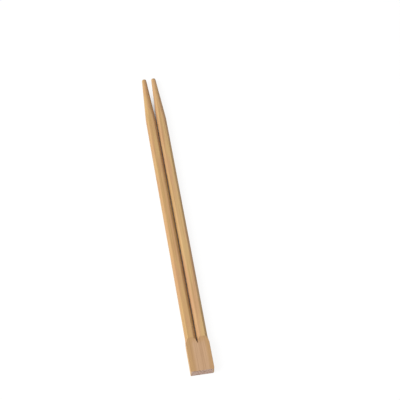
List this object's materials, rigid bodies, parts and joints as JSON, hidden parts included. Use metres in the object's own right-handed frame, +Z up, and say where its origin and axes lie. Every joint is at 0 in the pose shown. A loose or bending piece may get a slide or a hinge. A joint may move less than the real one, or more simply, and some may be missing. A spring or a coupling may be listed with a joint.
{
  "type": "joined bamboo chopsticks",
  "caption": "Disposable chopsticks milled from one bamboo strip: round sticks with tapered tips, parted by a thin slit as far as a flat block at the butt.",
  "frame": {"origin": "under the middle of the pair, in the plane that the block's underside rests on", "axes": "+Y along the grain from the butt block to the tips, +X across the pair, +Z up out of the flat crowns"},
  "size_m": [0.0132, 0.21, 0.0056],
  "materials": {
    "bamboo": "milled, unvarnished"
  },
  "bodies": {
    "root": {"chopstick_pair": "bamboo"}
  },
  "joints": []
}
